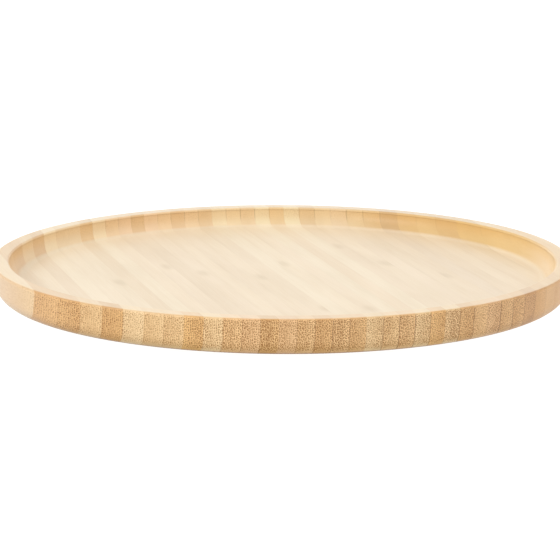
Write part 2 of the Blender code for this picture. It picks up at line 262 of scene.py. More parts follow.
# Colours of the hidden pieces, as sRGB.
PLATE_ZINC = (206, 209, 213)
SCREW_ZINC = (198, 200, 204)
ROLLING_MARKS = (150, 152, 156)
WORN_TRACK = (232, 234, 238)
BALL_STEEL = ((214, 216, 220), (196, 198, 203))
NYLON = ((232, 231, 222), (219, 217, 204))
RUBBER = ((34, 34, 35), (58, 57, 56))

# Camera, lamps and surround. A lamp has its place, its width and its watts.
CAMERA_LENS = 176.25
CAMERA_SENSOR = 36
CAMERA_ASIDE = -1.46 * MM
CAMERA_DISTANCE = 1.8141
CAMERA_ABOVE_RIM = 0.3626
CAMERA_PITCH = math.radians(11.807)
CAMERA_ROLL = math.radians(-0.248)
CAMERA_YAW = math.radians(0.052)
CAMERA_CLIP = (0.05, 20)
FLOOR_RADIUS = 6.0
FLOOR_GLOW = 0.92
LAMPS = {
    "key_light": ((-1.5, -1.1, 1.3), 1.1, 15),
    "overhead_light": ((0.2, 0.5, 1.8), 1.6, 4),
}
# How bright the surround is at a height on the sphere, from -1 straight below to 1 overhead.
SURROUND = [(-1.0, 0.1), (-0.8, 0.3), (-0.45, 1.2), (0.0, 1.28), (0.1, 1.12), (0.5, 0.83), (1.0, 0.73)]


# ---- meshes

def rounded_path(corners, closed=False):
    """Points along a path of straight runs. A corner is (x, y, radius), and gets an arc of that radius.

    A point just before and just after each arc keeps the flat runs flat when they are shaded smooth.
    """
    points = []
    count = len(corners)
    for k, (x, y, radius) in enumerate(corners):
        here = Vector((x, y))
        ends = not closed and k in (0, count - 1)
        if ends or radius == 0:
            points.append(here)
            continue
        back = (Vector(corners[k - 1][:2]) - here).normalized()
        ahead = (Vector(corners[(k + 1) % count][:2]) - here).normalized()
        half = back.angle(ahead) / 2
        centre = here + (back + ahead).normalized() * (radius / math.sin(half))
        start = here + back * (radius / math.tan(half))
        finish = here + ahead * (radius / math.tan(half))
        sweep = math.pi - 2 * half
        side = 1 if ahead.x * back.y - ahead.y * back.x > 0 else -1
        steps = max(2, math.ceil(sweep / ARC_STEP))
        support = min(SUPPORT, radius / 2)
        points.append(start + back * support)
        arm = start - centre
        for j in range(steps + 1):
            turn = side * sweep * j / steps
            turned_arm = Vector((
                arm.x * math.cos(turn) - arm.y * math.sin(turn),
                arm.x * math.sin(turn) + arm.y * math.cos(turn),
            ))
            points.append(centre + turned_arm)
        points.append(finish + ahead * support)
    return [tuple(p) for p in points]


def arc(centre, radius, start_deg, end_deg, steps):
    turns = [math.radians(start_deg + (end_deg - start_deg) * k / steps) for k in range(steps + 1)]
    return [(centre[0] + radius * math.cos(a), centre[1] + radius * math.sin(a)) for a in turns]


def even_angles(count):
    return [2 * math.pi * k / count for k in range(count)]


def on_circle(radius, angle, height=0.0):
    return Vector((radius * math.cos(angle), radius * math.sin(angle), height))


def turned(profile, angles, reach=None):
    """A bmesh turned about Z from (radius, height) points.

    A path that starts and ends on the axis is capped there, and any other is a closed loop. reach turns a
    radius and an angle into a distance from the axis, for an outline that isn't round.
    """
    build = bmesh.new()
    capped = profile[0][0] == 0
    rings = []
    for radius, height in profile:
        if capped and radius == 0:
            continue
        ring = [on_circle(reach(radius, a) if reach else radius, a, height) for a in angles]
        rings.append([build.verts.new(p) for p in ring])
    pairs = zip(rings, rings[1:]) if capped else zip(rings, rings[1:] + rings[:1])
    for lower, upper in pairs:
        for k in range(len(angles)):
            after = (k + 1) % len(angles)
            build.faces.new((lower[k], lower[after], upper[after], upper[k]))
    if capped:
        build.faces.new(list(reversed(rings[0])))
        build.faces.new(rings[-1])
    bmesh.ops.recalc_face_normals(build, faces=build.faces)
    return build


def finish_mesh(name, build, smooth=True):
    mesh = bpy.data.meshes.new(name)
    build.to_mesh(mesh)
    build.free()
    if smooth:
        mesh.shade_smooth()
        mesh.set_sharp_from_angle(angle=SMOOTH_ANGLE)
    return mesh


def new_object(name, mesh, at=(0, 0, 0), turn=(0, 0, 0)):
    piece = bpy.data.objects.new(name, mesh)
    bpy.context.scene.collection.objects.link(piece)
    piece.location = at
    piece.rotation_euler = turn
    return piece


def carve(name, mesh, *tools, operation="DIFFERENCE"):
    """The mesh after Booleans with each tool, which is a bmesh."""
    blank = new_object(name + "_blank", mesh)
    helpers = [new_object(f"{name}_tool_{k}", finish_mesh(name, t, False)) for k, t in enumerate(tools)]
    for helper in helpers:
        modifier = blank.modifiers.new(helper.name, "BOOLEAN")
        modifier.operation = operation
        modifier.solver = "EXACT"
        modifier.object = helper
    graph = bpy.context.evaluated_depsgraph_get()
    carved = bpy.data.meshes.new_from_object(blank.evaluated_get(graph))
    carved.name = name
    for helper in [blank] + helpers:
        bpy.data.objects.remove(helper)
    carved.shade_smooth()
    carved.set_sharp_from_angle(angle=SMOOTH_ANGLE)
    return carved


def rods(centres, profile, segments=SMALL_SEGMENTS):
    """A bmesh of turned rods, one at each centre, for a carve."""
    build = bmesh.new()
    for centre in centres:
        rod = turned(profile, even_angles(segments))
        bmesh.ops.translate(rod, verts=rod.verts, vec=centre)
        part = bpy.data.meshes.new("rod")
        rod.to_mesh(part)
        rod.free()
        build.from_mesh(part)
        bpy.data.meshes.remove(part)
    return build


def drill_profile(radius, bottom, top, chamfer=0.0):
    """A drill bit from bottom to top, which widens by the chamfer at each face that it goes through."""
    if not chamfer:
        return [(0, bottom), (radius, bottom), (radius, top), (0, top)]
    over = MM
    return [
        (0, bottom - over),
        (radius + chamfer + over, bottom - over),
        (radius, bottom + chamfer),
        (radius, top - chamfer),
        (radius + chamfer + over, top + over),
        (0, top + over),
    ]


# ---- materials

def linear(red, green, blue):
    """A colour given as 0 to 255 sRGB, in linear light."""
    def channel(value):
        share = value / 255
        return share / 12.92 if share <= 0.04045 else ((share + 0.055) / 1.055) ** 2.4
    return (channel(red), channel(green), channel(blue), 1.0)


class Shader:
    """A material's node tree, with short calls for the nodes that this file uses."""

    def __init__(self, name):
        self.material = bpy.data.materials.new(name)
        self.material.use_nodes = True
        self.tree = self.material.node_tree
        self.surface = self.tree.nodes["Principled BSDF"]
        self.column = -200

    def feed(self, socket, value):
        if isinstance(value, bpy.types.NodeSocket):
            self.tree.links.new(value, socket)
        else:
            socket.default_value = value

    def node(self, kind, **settings):
        made = self.tree.nodes.new(kind)
        made.location = (self.column, 0)
        self.column -= 200
        for key, value in settings.items():
            setattr(made, key, value)
        return made

    def fill(self, node, **values):
        """Values or sockets for a node's inputs, with _ for a space in an input's name."""
        for key, value in values.items():
            self.feed(node.inputs[key.replace("_", " ")], value)

    def set(self, **values):
        self.fill(self.surface, **values)

    def place(self):
        return self.node("ShaderNodeTexCoord").outputs["Object"]

    def math(self, operation, first, second=0.0, clamp=False):
        made = self.node("ShaderNodeMath", operation=operation, use_clamp=clamp)
        self.feed(made.inputs[0], first)
        self.feed(made.inputs[1], second)
        return made.outputs[0]

    def vector(self, operation, first, second=(0, 0, 0)):
        made = self.node("ShaderNodeVectorMath", operation=operation)
        self.feed(made.inputs[0], first)
        self.feed(made.inputs[1], second)
        return made.outputs["Value" if operation in ("DOT_PRODUCT", "LENGTH") else "Vector"]

    def split(self, vector):
        made = self.node("ShaderNodeSeparateXYZ")
        self.feed(made.inputs[0], vector)
        return made.outputs["X"], made.outputs["Y"], made.outputs["Z"]

    def join(self, x, y, z):
        made = self.node("ShaderNodeCombineXYZ")
        for socket, value in zip(made.inputs, (x, y, z)):
            self.feed(socket, value)
        return made.outputs[0]

    def ramp(self, value, low, high, start=0.0, end=1.0):
        """Smooth step from start to end as the value goes from low to high."""
        made = self.node("ShaderNodeMapRange", interpolation_type="SMOOTHSTEP")
        self.fill(made, Value=value, From_Min=low, From_Max=high, To_Min=start, To_Max=end)
        return made.outputs["Result"]

    def noise(self, vector, scale, detail=2.0, roughness=0.5):
        made = self.node("ShaderNodeTexNoise")
        self.fill(made, Vector=vector, Scale=scale, Detail=detail, Roughness=roughness)
        return made.outputs["Fac"]

    def cells(self, vector, size, randomness):
        """How far a point lies from its cell's centre, in cell sizes, and a random share for each cell."""
        made = self.node("ShaderNodeTexVoronoi", voronoi_dimensions="2D")
        self.fill(made, Vector=vector, Scale=1 / size, Randomness=randomness)
        return made.outputs["Distance"], self.split(made.outputs["Color"])[0]

    def swung(self, vector, turn):
        """A vector in a frame that is turned about Z."""
        made = self.node("ShaderNodeVectorRotate", rotation_type="Z_AXIS")
        self.fill(made, Vector=vector, Angle=-turn)
        return self.split(made.outputs["Vector"])

    def rest(self, share):
        """What a share leaves of 1."""
        return self.math("SUBTRACT", 1.0, share)

    def product(self, *factors):
        result = factors[0]
        for factor in factors[1:]:
            result = self.math("MULTIPLY", result, factor)
        return result

    def darken(self, share, colour, tint):
        return self.mix(share, colour, (*tint, 1.0), "MULTIPLY")

    def mix(self, share, first, second, blend="MIX"):
        made = self.node("ShaderNodeMix", data_type="RGBA", blend_type=blend)
        self.feed(made.inputs["Factor"], share)
        self.feed(made.inputs[6], first)
        self.feed(made.inputs[7], second)
        return made.outputs[2]

    def trait(self, name):
        return self.node("ShaderNodeAttribute", attribute_name=name)

    def bump(self, height, distance, strength=1.0):
        made = self.node("ShaderNodeBump")
        self.fill(made, Height=height, Distance=distance, Strength=strength)
        self.set(Normal=made.outputs["Normal"])


def board_place(s, turn, smooth_inside):
    """Where a point of a board lies and how it faces, with a share from 0 to 1 for each kind of surface.

    inside is what lies nearer the axis than smooth_inside, and outside the rest. flat looks up or down, and
    rising is a wall or a cove. end_grain is a wall that cuts the strips across, and cut_share how much that
    shows: less inside, and not on the underside. side_wall is an outer wall along the strips.
    """
    place = s.place()
    x, y, up = s.split(place)
    across, along, _ = s.swung(place, turn)
    _, facing_along, facing_up = s.swung(s.node("ShaderNodeTexCoord").outputs["Normal"], turn)
    cut_across = s.ramp(s.math("ABSOLUTE", facing_along), 0.16, 0.4)
    end_grain = s.product(cut_across, s.ramp(facing_up, 0.2, 0.85, 1.0, 0.0))
    tilt = s.math("ABSOLUTE", facing_up)
    from_axis = s.vector("LENGTH", s.join(x, y, 0.0))
    outside = s.ramp(from_axis, smooth_inside, smooth_inside + MM)
    flat = s.ramp(tilt, 0.74, 0.995)
    upright = s.ramp(facing_up, -0.88, -0.5)
    return SimpleNamespace(
        x=x, y=y, up=up, across=across, along=along, facing_up=facing_up,
        inside=s.rest(outside), outside=outside, end_grain=end_grain,
        flat=flat, rising=s.ramp(tilt, 0.8, 0.99, 1.0, 0.0),
        cut_share=s.product(end_grain, upright, s.ramp(outside, 0.0, 1.0, 0.1, 1.0)),
        side_wall=s.product(outside, s.rest(end_grain), s.rest(flat)),
    )


def read_strip(s, at):
    """Adds what the faces carry for their strip, and where a point lies in it.

    share goes from 0 at the strip's left edge to 1, and depth from 0 at its dense side. shifted_up has the
    strip's seed added to the height, so that no two strips have the same dots.
    """
    strip = s.trait("strip_tone")
    at.tone, dense_side = strip.outputs["Color"], strip.outputs["Alpha"]
    at.seed, at.dots, at.glue = s.split(s.trait("strip_traits").outputs["Vector"])
    at.node_share, at.node_along, at.shade = s.split(s.trait("strip_face").outputs["Vector"])
    from_first = s.math("SUBTRACT", at.across, FIRST_STRIP)
    at.share = s.math("FRACT", s.math("DIVIDE", from_first, STRIP_PITCH))
    at.depth = s.math("ABSOLUTE", s.math("SUBTRACT", at.share, dense_side))
    at.crowding = s.ramp(at.depth, 0.15, 0.85, 1.0, 0.0)
    at.shifted_up = s.math("ADD", at.up, at.seed)


def along_grain(s, at, across, stretch, height, scale, detail, roughness=0.5):
    """Noise drawn out along the grain, where it changes at only a share, the stretch, of its rate across."""
    return s.noise(s.join(across, s.product(at.along, stretch), height), scale, detail, roughness)


def add_fibres(s, at):
    """Adds the noises along the grain that more than one layer uses: fibres, bands, clouds and grit."""
    fibre_across = s.math("ADD", at.across, s.product(at.seed, 0.37))
    at.fine = along_grain(s, at, fibre_across, 0.02, at.shifted_up, FIBRE_SCALE, 3, 0.6)
    at.broad = along_grain(s, at, fibre_across, 0.06, at.shifted_up, BAND_SCALE, 2)
    at.cloud = along_grain(s, at, at.across, 0.25, at.up, CLOUD_SCALE, 3)
    at.grit = along_grain(s, at, at.across, 0.1, at.up, FIBRE_SCALE, 2)


def bundle_dots(s, where, size, core, rim):
    """Dots of the vascular bundles on end grain, each as dark as its own random share."""
    distance, random_share = s.cells(where, size, DOT_SCATTER)
    return s.product(s.ramp(distance, core, rim, 1.0, 0.0), s.ramp(random_share, 0.0, 1.0, 0.45, 1.0))


def end_grain_dots(s, at):
    """How far a dot covers a point. Bundles are rods along the grain, and closer at the dense side."""
    wander = along_grain(s, at, at.across, 0.2, at.shifted_up, DRIFT_SCALE, 2)
    drift = s.product(s.math("SUBTRACT", wander, 0.5), DOT_DRIFT)
    rod_place = s.join(s.math("ADD", at.across, drift), s.math("SUBTRACT", at.shifted_up, drift), 0.0)
    sparse_dot = s.product(bundle_dots(s, rod_place, *SPARSE_DOT), s.rest(at.crowding))
    dense_dot = s.product(bundle_dots(s, rod_place, *DENSE_DOT), at.crowding)
    dot = s.math("ADD", sparse_dot, dense_dot)
    patches = s.noise(s.join(at.across, 0.0, at.shifted_up), DOT_PATCH_SCALE, 2)
    strength = s.math("ADD", s.product(at.cut_share, DOT_GAIN), LEAST_DOT)
    dotted = s.product(dot, at.dots, s.ramp(patches, 0.3, 0.65, 0.75, 1.0))
    return s.math("MULTIPLY", dotted, strength, clamp=True)


def culm_node(s, at):
    """A node of the culm: a small soft smudge in a strip now and then."""
    off_along = s.math("DIVIDE", s.math("SUBTRACT", at.along, at.node_along), NODE_LENGTH)
    off_across = s.product(s.math("SUBTRACT", at.share, at.node_share), STRIP_PITCH / NODE_WIDTH)
    ripple = s.product(s.math("SUBTRACT", at.cloud, 0.5), 1.6)
    from_node = s.vector("LENGTH", s.join(s.math("ADD", off_across, ripple), off_along, 0.0))
    return s.ramp(from_node, 0.1, 1.0, 1.0, 0.0)


def edge_streak(s, at):
    """A soft streak beside some strips' edges, which comes and goes along the grain."""
    coming = s.noise(s.join(s.product(at.seed, 9.0), at.along, 0.0), STREAK_SCALE, 2)
    return s.product(s.ramp(at.depth, 0.03, 0.4, 1.0, 0.0), s.ramp(coming, 0.4, 0.7), at.flat)


def floor_shade(s, at):
    """How dark a strip's face is on a floor, which changes along the strip."""
    patch = s.noise(s.join(s.product(at.seed, 50.0), at.along, 0.0), SHADE_SCALE, 1)
    return s.product(at.shade, at.flat, s.ramp(patch, 0.35, 0.65, 0.06, 0.32))


def grain_colour(s, at):
    """The strip's own colour on walls, and nearer the pale long grain on the floor and the rim's top."""
    pale_floor = s.product(at.inside, 0.8)
    pale_rim = s.product(at.outside, s.ramp(at.y, *PALE_RIM_Y, 0.55, 0.74))
    pale_flat = s.product(at.flat, s.math("ADD", pale_floor, pale_rim))
    pale_share = s.math("MAXIMUM", s.ramp(at.outside, 0.0, 1.0, 0.3, 0.08), pale_flat)
    long_grain = s.mix(pale_share, at.tone, linear(*LONG_GRAIN))
    cut_grain = s.mix(s.ramp(at.outside, 0.0, 1.0, 0.5, 0.0), at.tone, linear(*INNER_GRAIN))
    return s.mix(at.end_grain, long_grain, cut_grain)


def tint_walls(s, at, colour):
    """Warmer inner walls, golden at the back right and pale at the right end, partly as painted shade where
    the key lamp lights them; browner outer ends, with painted shade at the left and right ends.
    """
    inner_wall = s.product(at.inside, at.rising)
    pale_end = s.product(inner_wall, s.ramp(at.x, *PALE_END_X), s.ramp(at.y, *PALE_END_Y, 0.6, 0.0))
    inner_wall = s.math("SUBTRACT", inner_wall, pale_end)
    # Painted shade in part: the inner walls are tinted darker and more golden towards the right, where the
    # key lamp lights the wall and cove most.
    colour = s.darken(s.product(inner_wall, s.ramp(at.across, *INNER_HUE_AND_SHADE_ACROSS)), colour, INNER_HUE_AND_SHADE_TINT)
    colour = s.darken(s.product(inner_wall, s.ramp(at.across, *GOLD_AND_SHADE_ACROSS)), colour, GOLD_AND_SHADE_TINT)
    colour = s.mix(s.product(pale_end, 0.5), colour, linear(*LONG_GRAIN))
    colour = s.darken(at.side_wall, colour, SIDE_TINT)
    outer_wall = s.product(at.outside, s.rest(at.flat))
    # Painted shade: the outer wall darkens a little towards its left end, where the key lamp is strongest,
    # and more towards its right end, away from the lamp.
    colour = s.darken(s.product(outer_wall, s.ramp(at.x, *LEFT_END_SHADE_X, 1.0, 0.0)), colour, LEFT_END_SHADE_TINT)
    return s.darken(s.product(outer_wall, s.ramp(at.x, *RIGHT_END_SHADE_X)), colour, RIGHT_END_SHADE_TINT)


def mark_grain(s, at, colour):
    """Fibres, bands, clouds, streaks, shades, bundles, grit and nodes, each a share of its own tint."""
    fibre_depth = s.math("ADD", s.product(at.side_wall, 0.25), 0.08)
    marks = (
        (s.product(s.ramp(at.fine, 0.35, 0.75), fibre_depth), FIBRE_TINT),
        (s.ramp(at.broad, 0.4, 0.7, 0.0, 0.1), BAND_TINT),
        (s.ramp(at.cloud, 0.4, 0.7, 0.0, 0.16), CLOUD_TINT),
        (s.product(edge_streak(s, at), 0.15), STREAK_TINT),
        (floor_shade(s, at), CLOUD_TINT),
        (s.product(at.crowding, at.cut_share, 0.2), CROWDED_TINT),
        (s.product(s.ramp(at.grit, 0.4, 0.7), at.cut_share, 0.22), GRIT_TINT),
        (s.product(culm_node(s, at), 0.3), NODE_TINT),
    )
    for share, tint in marks:
        colour = s.darken(share, colour, tint)
    return colour


def bamboo_finish(name, turn, smooth_inside=0.0):
    """Clear-lacquered laminated bamboo. The strips run along Y after a turn about Z.

    Each face carries three attributes for its strip: its colour, with the side of its dense bundles as alpha;
    its traits, which are a seed, how strongly its end grain is dotted and how dark the glue line before it
    is; and its face, which is where a node of the culm crosses it and how dark it is on a floor.
    Walls nearer the axis than smooth_inside are sanded finer, so their end grain shows less.
    """
    s = Shader(name)
    at = board_place(s, turn, smooth_inside)
    read_strip(s, at)
    add_fibres(s, at)
    dot_share = end_grain_dots(s, at)

    colour = tint_walls(s, at, grain_colour(s, at))
    colour = mark_grain(s, at, colour)
    colour = s.mix(s.product(at.cut_share, at.dots, 0.5), colour, linear(*PITH))
    colour = s.mix(dot_share, colour, linear(*DOT))
    line = s.product(s.ramp(at.share, 0.02, 0.08, 1.0, 0.0), at.glue, s.ramp(at.outside, 0.0, 1.0, 0.5, 1.0))
    line = s.product(line, s.ramp(at.end_grain, 0.0, 1.0, 0.06, 0.75))
    colour = s.mix(line, colour, linear(*GLUE_LINE))
    # Painted shade: a thin darker line where the lower edge turns under to face the floor.
    painted_under_edge_shade = s.product(s.ramp(at.facing_up, -0.95, -0.8, 1.0, 0.0), s.ramp(at.facing_up, -0.998, -0.98))
    colour = s.darken(painted_under_edge_shade, colour, UNDER_EDGE_SHADE_TINT)

    rough = s.ramp(s.math("ADD", at.fine, s.product(at.end_grain, 0.4)), 0.2, 1.2, 0.38, 0.58)
    s.set(Base_Color=colour, Roughness=rough, IOR=1.5, Coat_Weight=0.2, Coat_Roughness=0.3)
    s.bump(s.math("ADD", s.product(at.fine, 0.5), s.product(dot_share, -0.8)), 0.03 * MM, 0.6)
    return s.material


def zinc_finish(name, tint, race_polish=False):
    """Bright zinc plate on steel: a faint mottled passivation, rolling marks and, on a race, a worn track."""
    s = Shader(name)
    place = s.place()
    x, y, z = s.split(place)
    cloud = s.noise(place, 70, 3, 0.6)
    rolling = s.noise(s.join(s.product(x, 0.06), y, z), 2600, 2)
    grit = s.noise(place, 3200, 2)
    red, green, blue = tint
    colour = s.mix(s.ramp(cloud, 0.3, 0.7), linear(*tint), linear(red + 6, green + 2, blue - 14))
    colour = s.mix(s.ramp(rolling, 0.4, 0.8, 0.0, 0.25), colour, linear(*ROLLING_MARKS))
    rough = s.ramp(s.math("ADD", cloud, s.product(rolling, 0.5)), 0.4, 1.1, 0.22, 0.42)
    if race_polish:
        from_axis = s.vector("LENGTH", s.join(x, y, 0.0))
        off_track = s.math("ABSOLUTE", s.math("SUBTRACT", from_axis, RACE_RADIUS))
        track = s.ramp(off_track, 0.6 * MM, 1.6 * MM, 1.0, 0.0)
        colour = s.mix(s.product(track, 0.5), colour, linear(*WORN_TRACK))
        rough = s.product(rough, s.rest(s.product(track, 0.5)))
    s.set(Base_Color=colour, Roughness=rough, Metallic=1.0)
    s.bump(s.math("ADD", rolling, s.product(grit, 0.6)), 0.02 * MM, 0.5)
    return s.material


def ball_finish():
    """Polished chrome-steel balls with hair-fine rolling scratches."""
    s = Shader("polished_ball_steel")
    place = s.place()
    x, y, z = s.split(place)
    scratch = s.noise(s.join(x, s.product(y, 0.1), z), 5200, 2)
    haze = s.noise(place, 900, 2)
    bright, hazed = BALL_STEEL
    colour = s.mix(s.ramp(haze, 0.35, 0.7), linear(*bright), linear(*hazed))
    s.set(Base_Color=colour, Roughness=s.ramp(scratch, 0.5, 0.8, 0.07, 0.2), Metallic=1.0)
    s.bump(scratch, 0.004 * MM, 0.4)
    return s.material


def nylon_finish():
    """Moulded natural nylon: milky, slightly translucent, with a fine spark texture."""
    s = Shader("natural_nylon")
    place = s.place()
    flow = s.noise(place, 120, 3)
    grain = s.noise(place, 4200, 2)
    clear, milky = NYLON
    colour = s.mix(s.ramp(flow, 0.3, 0.7), linear(*clear), linear(*milky))
    s.set(Base_Color=colour, Roughness=s.ramp(grain, 0.2, 0.8, 0.42, 0.56), IOR=1.53)
    s.set(Subsurface_Weight=0.15, Subsurface_Scale=1.0 * MM)
    s.bump(grain, 0.01 * MM, 0.5)
    return s.material


def rubber_finish():
    """Black moulded rubber, with a dusty bloom and a fine matt grain."""
    s = Shader("black_rubber")
    place = s.place()
    bloom = s.noise(place, 260, 4, 0.65)
    grain = s.noise(place, 6000, 2)
    black, dusty = RUBBER
    colour = s.mix(s.ramp(bloom, 0.4, 0.75), linear(*black), linear(*dusty))
    s.set(Base_Color=colour, Roughness=s.ramp(bloom, 0.3, 0.8, 0.66, 0.85), IOR=1.5)
    s.bump(grain, 0.015 * MM, 0.6)
    return s.material


# ---- bamboo strips

def lay_strips(mesh, turn, tones, dots, lines, sides, shades, nodes, rng):
    """Cuts a board's mesh along its glue lines, and gives each face its strip's colour and traits."""
    build = bmesh.new()
    build.from_mesh(mesh)
    normal = Vector((math.cos(turn), math.sin(turn), 0))
    for k in range(1, len(tones)):
        at = normal * (FIRST_STRIP + k * STRIP_PITCH)
        everything = build.verts[:] + build.edges[:] + build.faces[:]
        bmesh.ops.bisect_plane(build, geom=everything, dist=0.001 * MM, plane_co=at, plane_no=normal)
    build.to_mesh(mesh)
    build.free()
    tone = mesh.attributes.new("strip_tone", "FLOAT_COLOR", "FACE")
    traits = mesh.attributes.new("strip_traits", "FLOAT_VECTOR", "FACE")
    faces = mesh.attributes.new("strip_face", "FLOAT_VECTOR", "FACE")
    seeds = [rng.random() for _ in tones]
    for face in mesh.polygons:
        k = math.floor((face.center.dot(normal) - FIRST_STRIP) / STRIP_PITCH)
        k = min(max(k, 0), len(tones) - 1)
        red, green, blue, _ = linear(*TONES[tones[k]])
        dense_side = 0.0 if sides[k] == "l" else 1.0
        dot, line, shade = (int(row[k], 16) / FULL_DIGIT for row in (dots, lines, shades))
        node_share, node_along = nodes.get(k, NO_NODE)
        tone.data[face.index].color = (red, green, blue, dense_side)
        traits.data[face.index].vector = (seeds[k], dot, line)
        faces.data[face.index].vector = (node_share, node_along * MM, shade)


# ---- pieces

def dress(piece, finish, body, slot, *nodes):
    """Gives a piece its material and the body that carries it, and hides the CAD nodes it stands for. Its
    slot is not used.
    """
    if not piece.data.materials:
        piece.data.materials.append(finish)
    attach(piece, body)
    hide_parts(*nodes)


def middle_of(node):
    low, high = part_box(node)
    return (low + high) / 2


def wall_radius(height):
    """How far the tray's leaning wall stands from the axis at a height."""
    above_edge = height - (TRAY_HIGH.z - RIM_EDGE_RADIUS)
    lean = (RIM_EDGE_RADIUS + above_edge * math.sin(WALL_SLOPE)) / math.cos(WALL_SLOPE)
    return TRAY_RADIUS - RIM_EDGE_RADIUS + lean


def make_tray(finish):
    """The tray, turned with a leaning wall, soft edges and a cove, and laid with strips."""
    inner = TRAY_RADIUS - RIM_WIDTH
    bottom, top = TRAY_LOW.z, TRAY_HIGH.z
    floor = top - RECESS_DEPTH
    profile = rounded_path([
        (0, bottom, 0),
        (wall_radius(bottom), bottom, UNDERSIDE_EDGE_RADIUS),
        (wall_radius(top), top, RIM_EDGE_RADIUS),
        (inner, top, RIM_EDGE_RADIUS),
        (inner, floor, COVE_RADIUS),
        (0, floor, 0),
    ])
    blank = finish_mesh("tray_blank", turned(profile, even_angles(BOARD_SEGMENTS)))
    bit = drill_profile(SHANK_HOLE_RADIUS, -MM, PILOT_DEPTH)
    holes = rods([on_circle(SCREW_CIRCLE_RADIUS, a, bottom) for a in CROSSWISE], bit)
    mesh = carve("bamboo_tray", blank, holes)
    rows = (TRAY_STRIPS, TRAY_DOTS, TRAY_LINES, TRAY_SIDES, TRAY_SHADES)
    lay_strips(mesh, STRIP_TURN, *rows, TRAY_NODES, random.Random(TRAY_SEED))
    dress(new_object("bamboo_tray", mesh), finish, "turntable", "bamboo", "tray")


def make_base_board(finish):
    """The base board, with its pilot holes and its chamfered access hole."""
    bottom, top = BOARD_LOW.z, BOARD_HIGH.z
    profile = rounded_path([
        (0, bottom, 0),
        (BOARD_RADIUS, bottom, BOARD_EDGE_RADIUS),
        (BOARD_RADIUS, top, BOARD_EDGE_RADIUS),
        (0, top, 0),
    ])
    blank = finish_mesh("board_blank", turned(profile, even_angles(BOARD_SEGMENTS // 2)))
    bit = drill_profile(SHANK_HOLE_RADIUS, -PILOT_DEPTH, MM)
    above = rods([on_circle(SCREW_CIRCLE_RADIUS, a, top) for a in DIAGONALS], bit)
    screws = [middle_of(f"foot_screw_{k + 1}") for k in range(SCREW_COUNT)]
    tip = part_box("foot_screw_1")[1].z + HOLE_GAP
    bit = drill_profile(SHANK_HOLE_RADIUS, -MM, tip - bottom)
    below = rods([(p.x, p.y, bottom) for p in screws], bit)
    bit = drill_profile(ACCESS_HOLE_RADIUS, bottom, top, ACCESS_HOLE_CHAMFER)
    access = rods([on_circle(SCREW_CIRCLE_RADIUS, 0)], bit, SMALL_SEGMENTS * 2)
    mesh = carve("bamboo_base_board", blank, above, below, access)
    backwards = [row[::-1] for row in (TRAY_STRIPS, TRAY_DOTS, TRAY_LINES, TRAY_SIDES, TRAY_SHADES)]
    lay_strips(mesh, 0.0, *backwards, BOARD_NODES, random.Random(BOARD_SEED))
    dress(new_object("bamboo_base_board", mesh), finish, "base", "bamboo", "base_board")


def square_reach(inset, angle):
    """How far the plate's rounded square, drawn in by an inset, reaches from the axis."""
    side = PLATE_HALF_SIDE - inset
    corner = PLATE_CORNER_RADIUS - inset
    x, y = sorted((abs(math.cos(angle)), abs(math.sin(angle))), reverse=True)
    straight = side - corner
    if side * y / x <= straight:
        return side / x
    along = straight * (x + y)
    return along + math.sqrt(max(along**2 - 2 * straight**2 + corner**2, 0))


def plate_reach(radius, angle):
    """Radii past the shoulder's foot stand for the square edge, as an inset from the plate's side."""
    return square_reach(PLATE_HALF_SIDE - radius, angle) if radius > PLATE_HALF_SIDE - MM else radius


def plate_angles():
    """Angles round a plate, closer together at the square's four corners."""
    corner = math.degrees(math.atan2(PLATE_HALF_SIDE - PLATE_CORNER_RADIUS, PLATE_HALF_SIDE))
    side = [corner * (k / SIDE_STEPS) for k in range(-SIDE_STEPS, SIDE_STEPS)]
    bend = [corner + (90 - 2 * corner) * (k / CORNER_STEPS) for k in range(CORNER_STEPS)]
    return [math.radians(90 * quarter + a) for quarter in range(4) for a in side + bend]


def race_arc(groove, shoulder):
    """The race's groove on one face of the sheet, from its outer edge in."""
    half = math.degrees(math.acos((BEARING_HEIGHT / 2 - shoulder) / groove))
    return arc((RACE_RADIUS, BEARING_HEIGHT / 2), groove, -90 + half, -90 - half, RACE_STEPS)


def square_edge():
    """The sheet's rounded outer edge, from its lower face up."""
    side = PLATE_HALF_SIDE
    return [
        (side - SHEET_EDGE, 0),
        (side - SHEET_EDGE * 0.3, SHEET_EDGE * 0.3),
        (side, SHEET_EDGE),
        (side, SHEET - SHEET_EDGE),
        (side - SHEET_EDGE * 0.3, SHEET - SHEET_EDGE * 0.3),
        (side - SHEET_EDGE, SHEET),
    ]


def flange_to_shoulder(lift, foot, shoulder):
    """The bend from the flat flange up to the shoulder, as a smooth S, on one face of the sheet."""
    points = []
    for k in range(BEND_STEPS + 1):
        t = k / BEND_STEPS
        ease = t * t * (3 - 2 * t)
        points.append((foot + (shoulder - foot) * t, lift + SHOULDER_RISE * ease))
    return points


def plate_section(inner):
    """A plate's closed section: out along its square edge, in over its shoulder and race, then back below."""
    foot = SHOULDER_OUTER_RADIUS + SHOULDER_SLOPE
    top = square_edge()
    top += flange_to_shoulder(SHEET, foot, SHOULDER_OUTER_RADIUS)
    top += race_arc(RACE_GROOVE_RADIUS, SHOULDER_TOP)
    bottom = race_arc(RACE_GROOVE_RADIUS + SHEET, SHOULDER_RISE)[::-1]
    back = SHEET / 2
    bottom += flange_to_shoulder(0, foot - back, SHOULDER_OUTER_RADIUS - back)[::-1]
    return top + inner + bottom


